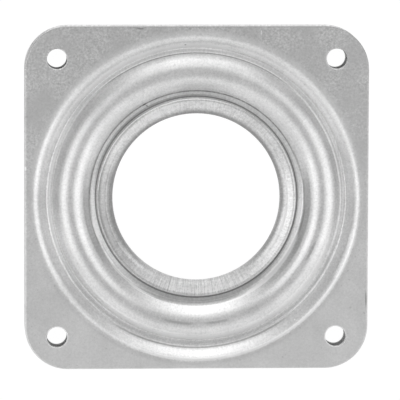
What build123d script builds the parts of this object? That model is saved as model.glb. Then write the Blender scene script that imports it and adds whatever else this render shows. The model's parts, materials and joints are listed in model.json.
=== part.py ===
from build123d import *
from math import copysign, cos, pi, radians, tan
import os

# Square turntable bearing: two pressed plates, held together by a rolled collar, turn on a ring of loose balls.
# Millimetres. Z is the axis of rotation, and Z = 0 is the lower mounting face.

# Plate outline
plate_side = 101.6  # square side of both plates
corner_radius = 12.7  # rounding of the square's corners
sheet = 0.9  # steel thickness
edge_break = 0.2  # small bevel round the outline and the holes, on the mounting side

# Screw holes
hole_inset = 9.525  # hole centre to plate edge
hole_diameter = 6.0

# Balls
ball_diameter = 5.556
ball_count = 28
ball_clearance = 0.06  # play between a ball and the bottom of each groove
groove_relief = 2.2  # extra radius of the groove's section over the ball's

# Pressed rings, from the edge inwards
side_flat = 1.8  # flat between the step and the middle of a side
step_bend = 3.6  # rounding at the top of the step
trough_width = 1.53  # flat bottom of the trough, between its corners
trough_bend = 0.8  # rounding of those corners
flank_angle = 40.0  # slope of the step and of the ridge
crest_recess = 0.232  # ridge crest below the mounting face
trough_gap = 0.4  # between the troughs of the two plates

# Ledge of the top plate, and the collar of the bottom plate that is rolled over it
ledge_depth = 3.3  # ledge's outer corner below the upper mounting face
ledge_slope = 8.0  # fall of the ledge towards the opening
ledge_bend = 0.4  # rounding where the ridge meets the ledge
ledge_margin = 2.2  # ledge left in sight outside the lip
lip_width = 4.64  # lip edge to opening
lip_slope = 12.0  # fall of the lip towards its edge
lip_bend = 2.0  # rounding of the lip into the opening
lip_round = 0.45  # rounding of the lip's edge
lip_clearance = 0.25  # under the lip's edge, above the ledge
web_clearance = 0.4  # under the ledge, above the lower plate's web, which runs along it
web_bend = 1.2  # rounding of the web into the opening
collar_clearance = 1.3  # between the collar and the ledge's edge

# Slopes that follow, as depth over radius
flank_fall = tan(radians(flank_angle))
ledge_fall = tan(radians(ledge_slope))
lip_fall = tan(radians(lip_slope))

# Heights that follow, at the sharp corners of the section
overall_height = ball_diameter + 2 * (ball_clearance + sheet + crest_recess)
trough_depth = overall_height / 2 - trough_gap / 2 - sheet
ridge_radius = ball_diameter / 2 + groove_relief + sheet
ridge_depth = crest_recess + ridge_radius * (1 - 1 / cos(radians(flank_angle)))
web_depth = overall_height - ledge_depth - 2 * sheet - web_clearance  # below the ledge's outer corner
lip_depth = overall_height - ledge_depth - ledge_margin * ledge_fall + lip_clearance + sheet

# Radii that follow, at the sharp corners of the section
step_edge = plate_side / 2 - side_flat
step_top = step_edge - step_bend * tan(radians(flank_angle / 2))
step_foot = step_top - trough_depth / flank_fall
ridge_foot = step_foot - trough_width
pitch_radius = ridge_foot - (trough_depth - ridge_depth) / flank_fall
ledge_corner = pitch_radius - (ledge_depth - ridge_depth) / flank_fall
web_corner = ledge_corner + (ledge_depth - web_depth) / (flank_fall + ledge_fall)
lip_radius = ledge_corner - ledge_margin
opening_radius = lip_radius - lip_width
ledge_hole_radius = opening_radius + sheet + collar_clearance

# Depths that follow at the ends of the sloping ledge, web and lip
ledge_end_depth = ledge_depth + (ledge_corner - ledge_hole_radius) * ledge_fall
web_corner_depth = web_depth + (web_corner - ledge_corner) * ledge_fall
web_end_depth = web_depth - (ledge_corner - opening_radius) * ledge_fall
lip_crest_depth = lip_depth + lip_width * lip_fall

hole_spacing = plate_side - 2 * hole_inset


def inner_face(points, bends):
    """Corners and bends of the sheet's other face: the corners set in by the sheet, the bends about the same centres."""
    runs = [Vector(*end) - Vector(*start) for start, end in zip(points, points[1:])]
    normals = [Vector(run.Y, -run.X).normalized() for run in runs]
    sides = list(zip(normals[:1] + normals, normals + normals[-1:]))
    corners = [
        Vector(*point) + (before + after) * (sheet / (1 + before.dot(after)))
        for point, (before, after) in zip(points, sides)
    ]
    turns = [before.cross(after).Z for before, after in sides[1:-1]]
    return corners, [bend + copysign(sheet, turn) for bend, turn in zip(bends, turns)]


def pressed_section(inner_points, inner_bends):
    """Section of a plate: its outer face from beyond the corners inwards, thickened towards the balls.

    A point is a radius and a depth below the plate's own mounting face.
    """
    rim = [
        (plate_side, 0),
        (step_top, 0),
        (step_foot, trough_depth),
        (ridge_foot, trough_depth),
        (pitch_radius, ridge_depth),
    ]
    points = rim + inner_points
    bends = [step_bend, trough_bend, trough_bend, ridge_radius] + inner_bends
    far_points, far_bends = inner_face(points, bends)
    with BuildSketch(Plane.XZ) as section:
        with BuildLine():
            near = FilletPolyline(*points, radius=bends)
            far = FilletPolyline(*far_points, radius=far_bends)
            Line(near @ 0, far @ 0)
            Line(near @ 1, far @ 1)
        make_face()
    return section.sketch


def plate(section):
    """A plate with its mounting face down at Z = 0: the section spun round, blanked to the square and pierced."""
    blank = RectangleRounded(plate_side, plate_side, corner_radius)
    blank -= GridLocations(hole_spacing, hole_spacing, 2, 2) * Circle(hole_diameter / 2)
    pressed = revolve(section, Axis.Z) & extrude(blank, overall_height)
    face = pressed.faces().sort_by(Axis.Z)[0]
    rims = [wire for wire in face.wires() if abs(wire.length - 2 * pi * step_edge) > sheet]
    return chamfer([edge for wire in rims for edge in wire.edges()], edge_break)


def top_plate():
    ledge = [(ledge_corner, ledge_depth), (ledge_hole_radius, ledge_end_depth)]
    section = pressed_section(ledge, [ledge_bend])
    return Pos(0, 0, overall_height) * Rot(180, 0, 0) * plate(section)


def bottom_plate():
    collar = [
        (web_corner, web_corner_depth),
        (opening_radius, web_end_depth),
        (opening_radius, lip_crest_depth),
        (lip_radius, lip_depth),
    ]
    pressed = plate(pressed_section(collar, [ledge_bend, web_bend, lip_bend]))
    lip_edge = pressed.edges().sort_by_distance((0, lip_radius, lip_depth))[0]
    return fillet(lip_edge, lip_round)


def balls():
    ring = PolarLocations(pitch_radius, ball_count)
    return [Pos(0, 0, overall_height / 2) * place * Sphere(ball_diameter / 2) for place in ring]


nodes = {"top_plate": top_plate(), "bottom_plate": bottom_plate()}
for number, ball in enumerate(balls(), 1):
    nodes[f"ball_{number:02d}"] = ball

os.makedirs("parts", exist_ok=True)
for name, shape in nodes.items():
    export_step(shape, f"parts/{name}.step")
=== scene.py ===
import json
from math import cos, pi, radians, sin, tan

import bpy
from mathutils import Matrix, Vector


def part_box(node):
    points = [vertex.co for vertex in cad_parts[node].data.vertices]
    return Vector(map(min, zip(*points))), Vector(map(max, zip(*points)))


# Square turntable bearing of pressed, zinc-plated steel, seen from above on a white floor.
# The part's own frame: Z is the axis of rotation, and Z = 0 is the lower mounting face.
# The scene is in metres. The finishes are worked out in millimetres and degrees from +X.

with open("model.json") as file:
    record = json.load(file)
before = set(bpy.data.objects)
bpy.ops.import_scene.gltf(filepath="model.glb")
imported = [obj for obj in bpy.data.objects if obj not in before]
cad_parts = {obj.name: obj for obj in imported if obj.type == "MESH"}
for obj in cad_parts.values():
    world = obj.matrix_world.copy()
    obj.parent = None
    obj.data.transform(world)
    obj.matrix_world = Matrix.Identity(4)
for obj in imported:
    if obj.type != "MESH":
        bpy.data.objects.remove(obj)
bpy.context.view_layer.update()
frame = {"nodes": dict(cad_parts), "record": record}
plate_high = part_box("top_plate")[1]
ball_low, ball_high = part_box("ball_01")
mounts = {mount["name"]: mount["dims"] for mount in frame["record"]["mounts"]}
mm_per_metre = 1000
white = (1, 1, 1, 1)

# Camera
image_width = 0.11815  # width of the picture at the height of the upper face
camera_distance = 1.5
camera_lean_up = radians(6.4)  # away from straight above, towards +Y
camera_lean_left = radians(3.1)  # and towards -X
view_centre = Vector((0.00094, -0.00053, plate_high.z))  # what the middle of the picture shows
sensor_width = 36.0  # in millimetres, as Blender takes it

# Light: each panel has a direction from the part, a half width and half height as angles, and a brightness
panel_distance = 1.0
studio_above = 0.345  # brightness of the studio straight above, between the panels
studio_beside = 0.46  # and near the horizon
panels = {
    # name: (azimuth from +X, angle from straight up, half width, half height, brightness)
    "back_panel": (89, 52, 22, 26, 0.90),
    "back_low_panel": (90, 77, 40, 11, 0.66),
    "right_panel": (0, 42, 22, 22, 0.98),
    "left_panel": (182, 34, 20, 17, 1.05),
    "front_left_panel": (232, 60, 34, 30, 0.50),
    "front_right_panel": (310, 62, 32, 29, 0.50),
}

# Floor
floor_size = 4.0
floor_drop = 0.0001  # keeps it clear of the lower mounting face
floor_white = 1.03  # brightness of its plain white
floor_glow = 0.96  # share of the floor that shows as plain white, the rest takes shadow
floor_mirrored = 0.6  # the same share in the metal's reflections
paper_colour = (0.9, 0.9, 0.9, 1)

# Forms that the finishes follow
half_side = plate_high.x * mm_per_metre
corner_radius = 12.7  # of the plates' outline
hole_offset = mounts["top_screws"]["spacing_x_mm"] / 2
hole_radius = mounts["top_screws"]["hole_r_mm"]
opening_radius = mounts["centre_opening"]["r_mm"]
lip_width = 4.64
ledge_margin = 2.2  # ledge in sight outside the lip
lip_edge = opening_radius + lip_width
ledge_corner = lip_edge + ledge_margin  # where the ridge rises from the ledge
crest_radius = (ball_low.x + ball_high.x) / 2 * mm_per_metre  # top of the ridge
trough_radius = 43.5  # middle of the trough
step_edge = 49.0  # where the step meets the flat corners
tone_limit = 0.95  # largest share of the light that a metal gives back

# Single marks on the top plate
plate_marks = (
    # X and Y of the middle, half length, half width, turn, tone
    (-15.4, 27.5, 0.9, 0.3, 28, 0.35),
    (-14.7, 27.1, 0.6, 0.3, -25, 0.40),
    (-3.4, 45.3, 0.5, 0.3, 0, 0.45),
    (-16.8, 50.2, 1.8, 0.3, 0, 0.55),
    (18.9, 48.9, 1.1, 0.25, 90, 1.45),
    (50.3, -30.2, 3.2, 0.3, 90, 0.55),
    # Painted highlight along the left edge
    (-50.6, 8.9, 0.8, 0.4, 90, 1.5),
    (29.2, -36.4, 0.35, 0.35, 0, 1.3),
)

# Places that repeat along one ring: painted highlight and shade on the ledge's corner, smudges on the crest,
# painted light and shade on the lip
corner_highlight = ((198, -0.3), (212, 0.0), (226, 0.27), (240, 0.58))  # azimuth, radius from the ledge's corner
corner_shade_end = ((17, 0.1), (2, 0.35), (347, 0.6))  # the same
crest_smudges = ((262, 9), (279, 7), (335, 6))  # azimuth, angle to each side
lip_stretches = ((335, 45, 1.10), (268, 28, 1.12), (192, 50, 0.64), (42, 42, 0.82))  # the same, and tone

# Painted light and shade: rings of the finishes, or stretches of rings, that are lighter or darker than the
# rest.
# Columns: tone, radius from the form's own, half width, soft edge.
# A stretch also has an azimuth, the angle that it fills to each side, and the angle where it ends.
# The far side of the part is at 90 degrees, and the front is at 270.
trough_corner_rings = (
    # Painted shade in the corners of the trough
    (0.86, -0.65, 0.3, 0.5, 90, 75, 105),
    (0.90, -0.2, 0.3, 0.5, 270, 60, 90),
    (0.86, 0.8, 0.1, 0.3),
)
trough_rings = (
    # Far side: a painted dark line at the ridge's foot, a painted highlight beside it, and painted light on
    # the foot of the step
    (0.45, -0.72, 0.04, 0.13, 90, 30, 48),
    (1.35, -0.33, 0.06, 0.14, 95, 35, 52),
    (1.26, 1.3, 0.55, 0.4, 108, 16, 34),
    (1.20, 1.8, 0.4, 0.6, 95, 53, 84),
    # Front: painted shade in the middle, a fine painted highlight, and a painted dark line at the step's foot
    (0.93, -0.30, 0.2, 0.3, 265, 30, 55),
    (1.16, 0.95, 0.04, 0.12, 272, 60, 120),
    (0.62, 1.35, 0.1, 0.2, 272, 22, 40),
    (0.84, 1.40, 0.3, 0.5, 272, 18, 40),
    # Sides: a band of painted light with a painted dark line inside it on the left, a painted highlight along
    # the middle on the right
    (1.28, 0.2, 0.4, 0.3, 180, 18, 38),
    (0.84, -0.75, 0.2, 0.3, 192, 15, 30),
    (1.22, 0.15, 0.12, 0.22, 8, 18, 32),
    # Outer flank of the ridge: painted light at the front, painted shade at the sides
    (1.22, -2.1, 0.5, 0.6, 285, 46, 84),
    (1.20, -1.5, 0.3, 0.4, 285, 35, 60),
    (0.86, -1.9, 0.5, 0.6, 15, 15, 40),
    (0.86, -1.9, 0.5, 0.6, 165, 15, 35),
)
step_rings = (
    # Painted highlight at the front
    (1.10, -2.8, 1.0, 0.8, 270, 0, 45),
    (1.35, -0.85, 0.2, 0.5, 295, 30, 65),
)
crest_rings = (
    # Painted highlight inside the crest, to the right and left of the front
    (1.18, -1.8, 0.5, 0.6, 330, 12, 28),
    (1.12, -1.8, 0.5, 0.6, 210, 10, 26),
)
ledge_corner_rings = (
    # Inner flank of the ridge: painted light at the front, painted shade at its foot on the right and left
    (1.12, 1.9, 1.0, 0.6, 270, 0, 45),
    (0.74, 1.3, 0.6, 0.6, 352, 8, 30),
    (0.84, 1.6, 0.4, 0.35, 322, 10, 20),
    (0.82, 1.0, 0.7, 0.4, 195, 10, 24),
    # Ledge: painted light to the right and left, painted shade at the front and on the far side
    (1.22, -0.6, 0.6, 0.5, 335, 14, 33),
    (1.20, -1.1, 0.3, 0.4, 200, 10, 40),
    (0.90, -0.2, 0.3, 0.4, 272, 8, 28),
    (0.64, 0.25, 0.35, 0.3, 268, 20, 34),
    (0.92, -0.9, 0.7, 0.5, 100, 30, 80),
    # Painted highlight along the corner, from the front to the right
    (1.20, 0.75, 0.2, 0.3, 302, 8, 20),
    (1.40, 0.45, 0.15, 0.3, 320, 12, 24),
    # Left end of the painted shade along the corner
    (0.72, 0.08, 0.15, 0.25, 185, 18, 36),
)
lip_shadow_rings = (
    # Painted shadow on the ledge along the lip's edge, widest at the front, wider on the right and at the far
    # left
    (0.42, 0.42, 0.1, 0.22),
    (0.66, 1.0, 0.4, 0.7, 280, 0, 75),
    (0.75, 0.75, 0.15, 0.3, 350, 25, 60),
    (0.86, 0.50, 0.12, 0.2, 357, 10, 28),
    (0.68, 0.85, 0.12, 0.3, 125, 30, 60),
)
lip_rings = (
    # A line of painted shade inside the lip's edge, deeper on the left
    (0.74, -0.5, 0.1, 0.4),
    (0.80, -0.70, 0.25, 0.3, 165, 30, 50),
    # A painted highlight along the edge, wider at the far left and on the right
    (1.35, -0.08, 0.12, 0.1),
    (1.55, -0.34, 0.12, 0.1, 135, 25, 45),
    (1.20, -0.38, 0.1, 0.12, 5, 30, 50),
)
opening_rings = (
    # Painted shade along the bend, least at the front, and up to the crown on the left
    (0.86, 0.0, 1.0, 0.8),
    (0.68, 0.0, 0.4, 0.9, 90, 127, 162),
    (0.82, 0.0, 0.8, 1.2, 110, 78, 120),
    (0.62, 1.3, 0.2, 0.6, 188, 12, 36),
    # Painted highlight along its crown on the right and the far side
    (1.25, 1.3, 0.5, 0.6, 332, 8, 26),
    (1.18, 2.0, 0.2, 0.5, 0, 12, 28),
    (1.16, 3.0, 0.9, 0.5, 105, 50, 80),
)


def bare_material(name):
    """A material whose node tree is empty."""
    material = bpy.data.materials.new(name)
    material.use_nodes = True
    material.node_tree.nodes.clear()
    return material


def add_node(tree, kind, inputs=None, **settings):
    """Adds a node, sets or links its inputs by name or number, and returns its outputs."""
    added = tree.nodes.new("ShaderNode" + kind)
    for name, value in settings.items():
        setattr(added, name, value)
    for socket, value in (inputs or {}).items():
        if isinstance(value, bpy.types.NodeSocket):
            tree.links.new(value, added.inputs[socket])
        else:
            added.inputs[socket].default_value = value
    return added.outputs


class Finish:
    """A metal finish that is built up in layers of tone, roughness and relief."""

    def __init__(self, name, tone, roughness):
        self.material = bare_material(name)
        self.tree = self.material.node_tree
        self.tone = tone
        self.roughness = roughness
        self.relief = 0.0
        self.place = self.scaled(self.add("TexCoord", output="Object"), mm_per_metre)
        flat = self.vector("MULTIPLY", self.place, (1, 1, 0))
        self.radius = self.vector("LENGTH", flat, output="Value")
        self.around = self.vector("NORMALIZE", flat)

    def add(self, kind, inputs=None, output=0, **settings):
        """Adds a node and returns one of its outputs."""
        return add_node(self.tree, kind, inputs, **settings)[output]

    def math(self, operation, *values):
        return self.add("Math", dict(enumerate(values)), operation=operation)

    def vector(self, operation, *values, output="Vector"):
        return self.add("VectorMath", dict(enumerate(values)), output, operation=operation)

    def scaled(self, vector, scale):
        return self.add("VectorMath", {"Vector": vector, "Scale": scale}, operation="SCALE")

    def noise(self, place, scale, detail=2.0, roughness=0.5):
        inputs = {"Vector": place, "Scale": scale, "Detail": detail, "Roughness": roughness}
        return self.add("TexNoise", inputs)

    def grain(self):
        """Fine grain of the plating."""
        return self.noise(self.place, 1.6, detail=3.0, roughness=0.7)

    def streaks(self, round_scale, radius_scale):
        """Noise drawn out round the axis, or away from it, by how fast it changes each way."""
        turned = self.scaled(self.around, round_scale)
        outward = self.math("MULTIPLY", self.radius, radius_scale)
        return self.noise(self.vector("ADD", turned, self.add("CombineXYZ", {"Z": outward})), 1.0)

    def ramp(self, value, start, end):
        """Goes evenly from 0 at the start to 1 at the end."""
        return self.add("MapRange", {"Value": value, "From Min": start, "From Max": end})

    def ease(self, value, start, end):
        """Goes smoothly from 0 at the start to 1 at the end."""
        inputs = {"Value": value, "From Min": start, "From Max": end}
        return self.add("MapRange", inputs, interpolation_type="SMOOTHSTEP")

    def band(self, value, middle, half_width, soft):
        """1 within half a width of the middle, and 0 beyond a soft edge."""
        away = self.math("ABSOLUTE", self.math("SUBTRACT", value, middle))
        return self.ease(away, half_width + soft, half_width)

    def facing(self, azimuth):
        """From -1 to 1, by how near a place lies to a direction from the axis."""
        towards = (cos(radians(azimuth)), sin(radians(azimuth)), 0)
        return self.vector("DOT_PRODUCT", self.around, towards, output="Value")

    def arc(self, azimuth, full, end):
        """1 up to one angle to each side of an azimuth, and 0 from another on."""
        return self.ease(self.facing(azimuth), cos(radians(end)), cos(radians(full)))

    def overlap(self, first, *others):
        """1 where all the masks are 1."""
        for mask in others:
            first = self.math("MULTIPLY", first, mask)
        return first

    def flat_corners(self):
        """1 outside the step."""
        return self.ease(self.radius, step_edge, step_edge + 1.5)

    def edge_distance(self):
        """How far in from the plates' outline."""
        core = half_side - corner_radius
        past = self.vector("SUBTRACT", self.vector("ABSOLUTE", self.place), (core, core, 0))
        outer = self.vector("MULTIPLY", self.vector("MAXIMUM", past, (0, 0, 0)), (1, 1, 0))
        split = add_node(self.tree, "SeparateXYZ", {0: past})
        inner = self.math("MINIMUM", self.math("MAXIMUM", split["X"], split["Y"]), 0.0)
        reach = self.math("ADD", self.vector("LENGTH", outer, output="Value"), inner)
        return self.math("SUBTRACT", corner_radius, reach)

    def hole_distance(self):
        """How far out from the rim of the nearest screw hole."""
        middle = (hole_offset, hole_offset, 0)
        away = self.vector("SUBTRACT", self.vector("ABSOLUTE", self.place), middle)
        away = self.vector("LENGTH", self.vector("MULTIPLY", away, (1, 1, 0)), output="Value")
        return self.math("SUBTRACT", away, hole_radius)

    def shade(self, factor, *masks):
        """Multiplies the tone by the factor where all the masks are 1."""
        share = self.math("MULTIPLY_ADD", self.overlap(*masks), factor - 1, 1.0)
        self.tone = self.math("MULTIPLY", self.tone, share)

    def vary(self, amount, pattern, *masks):
        """Spreads the tone by the amount where all the masks are 1, as the pattern goes from 0 to 1."""
        swing = self.overlap(self.math("SUBTRACT", pattern, 0.5), *masks)
        self.tone = self.math("MULTIPLY", self.tone, self.math("MULTIPLY_ADD", swing, amount, 1.0))

    def roughen(self, amount, mask):
        self.roughness = self.math("MULTIPLY_ADD", mask, amount, self.roughness)

    def lift(self, height, *masks):
        """Raises the relief by a height where all the masks are 1."""
        self.relief = self.math("MULTIPLY_ADD", self.overlap(*masks), height, self.relief)

    def slope(self, height, value, start, end):
        """Raises the relief from nothing at the start to a height at the end, ever more steeply."""
        self.lift(height, self.math("POWER", self.ramp(value, start, end), 2.0))

    def ring(self, factor, middle, half_width, soft, *stretch):
        """Multiplies the tone by the factor along a ring, or along a stretch of it as arc() takes it."""
        masks = [self.band(self.radius, middle, half_width, soft)]
        if stretch:
            masks.append(self.arc(*stretch))
        self.shade(factor, *masks)

    def rings(self, form_radius, rows):
        """Rings of a table, with their radii counted from a form's own."""
        for factor, offset, *shape in rows:
            self.ring(factor, form_radius + offset, *shape)

    def mark(self, x, y, half_length, half_width, turn, factor):
        """An oval mark, turned from X by an angle, that multiplies the tone by the factor."""
        along = Vector((cos(radians(turn)), sin(radians(turn)), 0))
        across = Vector((-along.y, along.x, 0))
        away = self.vector("SUBTRACT", self.place, (x, y, 0))
        reach = self.add("CombineXYZ", {
            "X": self.vector("DOT_PRODUCT", away, along / half_length, output="Value"),
            "Y": self.vector("DOT_PRODUCT", away, across / half_width, output="Value"),
        })
        self.shade(factor, self.ease(self.vector("LENGTH", reach, output="Value"), 1.0, 0.3))

    def metal(self):
        """Joins the layers into the material's surface."""
        tone = self.math("MINIMUM", self.tone, tone_limit)
        bump = self.add("Bump", {"Height": self.relief, "Distance": 1 / mm_per_metre}, "Normal")
        shader = self.add("BsdfPrincipled", {
            "Base Color": self.add("CombineColor", {"Red": tone, "Green": tone, "Blue": tone}),
            "Metallic": 1.0,
            "Roughness": self.roughness,
            "Normal": bump,
        })
        add_node(self.tree, "OutputMaterial", {"Surface": shader})
        return self.material


def zinc_sheet(name):
    """Pressed and zinc-plated sheet: grain, clouds and pits of the plating, tool lines, and sheared edges."""
    sheet = Finish(name, tone=0.76, roughness=0.36)
    grain = sheet.grain()
    sheet.vary(0.36, grain)
    sheet.roughen(0.08, grain)
    sheet.lift(0.012, grain)
    clouds = sheet.noise(sheet.place, 0.1, detail=3.0)
    sheet.vary(0.30, clouds)
    pits = sheet.noise(sheet.place, 0.8)
    sheet.shade(0.8, sheet.ease(pits, 0.66, 0.76))
    # Coarser grain in patches of the flat corners, least at the front
    patches = sheet.ease(clouds, 0.3, 0.6)
    sheet.vary(0.9, grain, patches, sheet.flat_corners(), sheet.arc(90, 37, 143))
    # Flat corners are duller than the drawn rings
    drawn = sheet.ease(sheet.radius, step_edge + 0.5, step_edge - 1.0)
    undrawn = sheet.math("SUBTRACT", 1.0, drawn)
    sheet.shade(0.80, undrawn)
    sheet.roughen(0.14, undrawn)
    # Drawn rings: stronger grain, lines round the axis from the tool, and short streaks away from it
    sheet.vary(0.30, grain, drawn)
    sheet.vary(0.16, sheet.streaks(2.0, 5.0), drawn)
    rays = sheet.streaks(70.0, 0.3)
    sheet.vary(0.14, rays, drawn)
    sheet.lift(0.004, rays, drawn)
    # Corners of the trough, with painted shade, and the inner one rougher
    sheet.rings(trough_radius, trough_corner_rings)
    sheet.roughen(0.08, sheet.band(sheet.radius, trough_radius - 0.6, 0.3, 0.5))
    # Sheared edges, which fall away next to the cut, with a painted highlight on the rim round the holes
    from_hole = sheet.hole_distance()
    sheet.slope(-0.12, sheet.edge_distance(), 0.55, 0.0)
    sheet.slope(-0.06, from_hole, 0.4, 0.0)
    sheet.shade(1.4, sheet.band(from_hole, 0.1, 0.1, 0.15))
    return sheet


def inner_face_shade(sheet, inward):
    """Painted shade: a darker film on the faces turned to the balls, up or down by the sign of inward."""
    normal = sheet.add("NewGeometry", output="Normal")
    turned_in = sheet.vector("DOT_PRODUCT", normal, (0, 0, inward), output="Value")
    outside_lip = sheet.ease(sheet.radius, lip_edge + 0.1, lip_edge + 0.4)
    within_edge = sheet.ease(sheet.edge_distance(), 1.0, 3.0)
    film = sheet.overlap(sheet.ease(turned_in, 0.0, 0.2), outside_lip, within_edge)
    sheet.shade(0.62, film)
    return film


def top_plate_finish():
    sheet = zinc_sheet("zinc_plate_top")
    # Painted shade on the faces turned to the balls, painted light and shade along the rings, and painted
    # shadow along the lip's edge
    inner_face_shade(sheet, -1)
    sheet.rings(trough_radius, trough_rings)
    sheet.rings(step_edge, step_rings)
    sheet.rings(crest_radius, crest_rings)
    sheet.rings(ledge_corner, ledge_corner_rings)
    sheet.rings(lip_edge, lip_shadow_rings)
    # Flat corners: painted light, brighter towards the front and darker towards the back
    sheet.shade(1.12, sheet.flat_corners(), sheet.facing(270))
    # Edge: a painted highlight and rolled over on the left, painted shade on the far side, with a burr except
    # there
    edge = sheet.edge_distance()
    left_side = sheet.arc(180, 40, 52)
    sheet.shade(1.2, sheet.ease(edge, 0.6, 0.3), left_side)
    sheet.lift(-0.11, sheet.ramp(edge, 0.5, 0.0), left_side)
    sheet.shade(0.84, sheet.ease(edge, 0.45, 0.2), sheet.arc(90, 45, 55))
    sheet.lift(0.2, sheet.ramp(edge, 0.2, 0.0), sheet.arc(270, 118, 132))
    # Outer flank of the ridge, a little less steep at the front
    outer_flank = sheet.ramp(sheet.radius, trough_radius - 2.3, trough_radius - 1.2)
    sheet.lift(0.10, outer_flank, sheet.arc(288, 25, 55))
    # Painted shade along the corner of the ledge on the far side, darker in specks
    corner = sheet.band(sheet.radius, ledge_corner - 0.1, 0.08, 0.17)
    painted_corner_shade = sheet.overlap(corner, sheet.arc(105, 66, 96))
    specks = sheet.ease(sheet.noise(sheet.place, 1.0), 0.30, 0.60)
    sheet.shade(0.56, painted_corner_shade)
    sheet.shade(0.65, painted_corner_shade, specks)
    # Its right end, and a painted highlight along the corner from the left to the front, both of which run
    # outwards
    for azimuth, offset in corner_shade_end:
        sheet.ring(0.70, ledge_corner + offset, 0.1, 0.25, azimuth, 2, 10)
    for azimuth, offset in corner_highlight:
        sheet.ring(1.45, ledge_corner + offset, 0.2, 0.25, azimuth, 2, 9.5)
    # Smudges along the crest, and single marks
    for azimuth, end in crest_smudges:
        sheet.ring(0.72, crest_radius, 0.1, 0.5, azimuth, 0, end)
    for shape in plate_marks:
        sheet.mark(*shape)
    return sheet.metal()


def bottom_plate_finish():
    sheet = zinc_sheet("zinc_plate_bottom")
    # Painted shade on the faces turned to the balls, and painted light and shade along the lip and the
    # opening
    film = inner_face_shade(sheet, 1)
    sheet.rings(lip_edge, lip_rings)
    sheet.rings(opening_radius, opening_rings)
    # Edge with a painted highlight and less rough, which falls away further than the other plate's
    edge = sheet.edge_distance()
    rim = sheet.ease(edge, 0.7, 0.4)
    sheet.shade(1.18, rim)
    sheet.roughen(-0.10, rim)
    sheet.lift(-0.16, sheet.ramp(edge, 0.65, 0.0))
    # Deeper painted shade on the inner faces at the far left screw hole
    sheet.shade(0.65, film, sheet.arc(135, 5, 9))
    # Rolled lip: streaks away from the axis, most at the front, and stronger grain
    lip = sheet.ease(sheet.radius, lip_edge + 0.6, lip_edge + 0.3)
    rolled = sheet.streaks(100.0, 0.12)
    sheet.vary(0.32, rolled, lip)
    sheet.vary(0.70, rolled, lip, sheet.arc(270, 12, 36))
    sheet.lift(0.02, rolled, lip)
    sheet.vary(0.30, sheet.grain(), lip)
    # Painted light and shade on stretches of the lip
    for azimuth, end, factor in lip_stretches:
        sheet.ring(factor, lip_edge - 1.5, 0.8, 0.5, azimuth, 0, end)
    # Lip's edge turned up, with a wider burr at the far left and on the right
    sheet.slope(0.23, sheet.radius, lip_edge - 0.25, lip_edge)
    burr = sheet.ease(sheet.radius, lip_edge - 0.55, lip_edge - 0.15)
    sheet.lift(0.25, burr, sheet.arc(135, 25, 45))
    sheet.lift(0.12, burr, sheet.arc(5, 30, 50))
    # Rough bend into the opening
    sheet.roughen(0.14, sheet.ease(sheet.radius, opening_radius + 2.6, opening_radius + 1.8))
    return sheet.metal()


def ball_finish():
    """Polished bearing steel with a thin film of oil."""
    ball = Finish("polished_ball", tone=0.78, roughness=0.08)
    film = ball.noise(ball.place, 0.9, detail=3.0)
    ball.vary(0.2, film)
    ball.roughen(0.12, film)
    ball.lift(0.0005, ball.noise(ball.place, 6.0))
    return ball.metal()


def dress_nodes():
    balls = ball_finish()
    finishes = {"top_plate": top_plate_finish(), "bottom_plate": bottom_plate_finish()}
    for name, part in frame["nodes"].items():
        part.data.materials.clear()
        part.data.materials.append(finishes.get(name, balls))


def direction(azimuth, zenith_angle):
    """Unit vector at an azimuth from +X and an angle from straight up."""
    turn = radians(azimuth)
    tilt = radians(zenith_angle)
    return Vector((sin(tilt) * cos(turn), sin(tilt) * sin(turn), cos(tilt)))


def add_panel(name, azimuth, zenith_angle, half_width, half_height, brightness):
    """A rectangular soft box that faces the part."""
    light = bpy.data.lights.new(name, "AREA")
    light.shape = "RECTANGLE"
    light.size = 2 * panel_distance * tan(radians(half_width))
    light.size_y = 2 * panel_distance * tan(radians(half_height))
    light.energy = brightness * pi * light.size * light.size_y
    panel = bpy.data.objects.new(name, light)
    towards = direction(azimuth, zenith_angle)
    panel.location = towards * panel_distance
    panel.rotation_euler = towards.to_track_quat("Z", "Y").to_euler()
    panel.visible_camera = False
    bpy.context.collection.objects.link(panel)


def add_world():
    """A pale studio, darker straight above than near the horizon."""
    world = bpy.data.worlds.new("studio")
    world.use_nodes = True
    tree = world.node_tree
    place = add_node(tree, "TexCoord")["Generated"]
    height = add_node(tree, "SeparateXYZ", {0: place})["Z"]
    fade = {"Value": height, "To Min": studio_beside, "To Max": studio_above}
    background = tree.nodes["Background"].inputs
    background["Color"].default_value = white
    tree.links.new(add_node(tree, "MapRange", fade)[0], background["Strength"])
    bpy.context.scene.world = world


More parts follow.
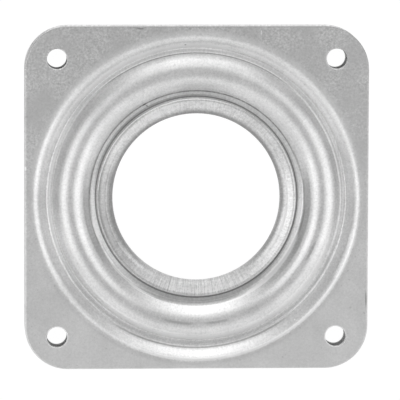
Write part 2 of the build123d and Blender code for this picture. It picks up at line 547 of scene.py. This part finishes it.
def floor_material():
    """White paper that shows as plain white and still takes some shadow; clear from below."""
    material = bare_material("white_floor")
    tree = material.node_tree
    path = add_node(tree, "LightPath")
    straight = {0: path["Is Camera Ray"], 1: path["Is Transmission Ray"]}
    seen = add_node(tree, "Math", straight, operation="MAXIMUM")[0]
    seen = add_node(tree, "Math", {0: seen, 1: floor_glow}, operation="MULTIPLY")[0]
    mirrored = {0: path["Is Glossy Ray"], 1: floor_mirrored, 2: seen}
    share = add_node(tree, "Math", mirrored, operation="MULTIPLY_ADD")[0]
    paper = add_node(tree, "BsdfDiffuse", {"Color": paper_colour})[0]
    glow = add_node(tree, "Emission", {"Color": white, "Strength": floor_white})[0]
    lit = add_node(tree, "MixShader", {0: share, 1: paper, 2: glow})[0]
    clear = add_node(tree, "BsdfTransparent")[0]
    from_below = add_node(tree, "NewGeometry")["Backfacing"]
    shown = add_node(tree, "MixShader", {0: from_below, 1: lit, 2: clear})[0]
    add_node(tree, "OutputMaterial", {"Surface": shown})
    return material


def add_floor():
    half = floor_size / 2
    outline = ((-half, -half), (half, -half), (half, half), (-half, half))
    mesh = bpy.data.meshes.new("floor")
    mesh.from_pydata([(x, y, -floor_drop) for x, y in outline], [], [(0, 1, 2, 3)])
    mesh.materials.append(floor_material())
    floor = bpy.data.objects.new("floor", mesh)
    bpy.context.collection.objects.link(floor)


def add_camera():
    """Looks down on the upper face with +Y up in the picture, leaning a little."""
    up = Vector((0, 0, 1))
    towards = Vector((-sin(camera_lean_left), sin(camera_lean_up), 0))
    towards.z = (1 - towards.length_squared) ** 0.5
    data = bpy.data.cameras.new("camera")
    data.sensor_width = sensor_width
    data.lens = sensor_width * camera_distance / image_width
    camera = bpy.data.objects.new("camera", data)
    camera.location = view_centre + towards * camera_distance
    camera.rotation_euler = up.rotation_difference(towards).to_euler()
    bpy.context.collection.objects.link(camera)
    bpy.context.scene.camera = camera


dress_nodes()
for panel_name, panel_shape in panels.items():
    add_panel(panel_name, *panel_shape)
add_world()
add_floor()
add_camera()
bpy.context.scene.view_settings.view_transform = "Standard"
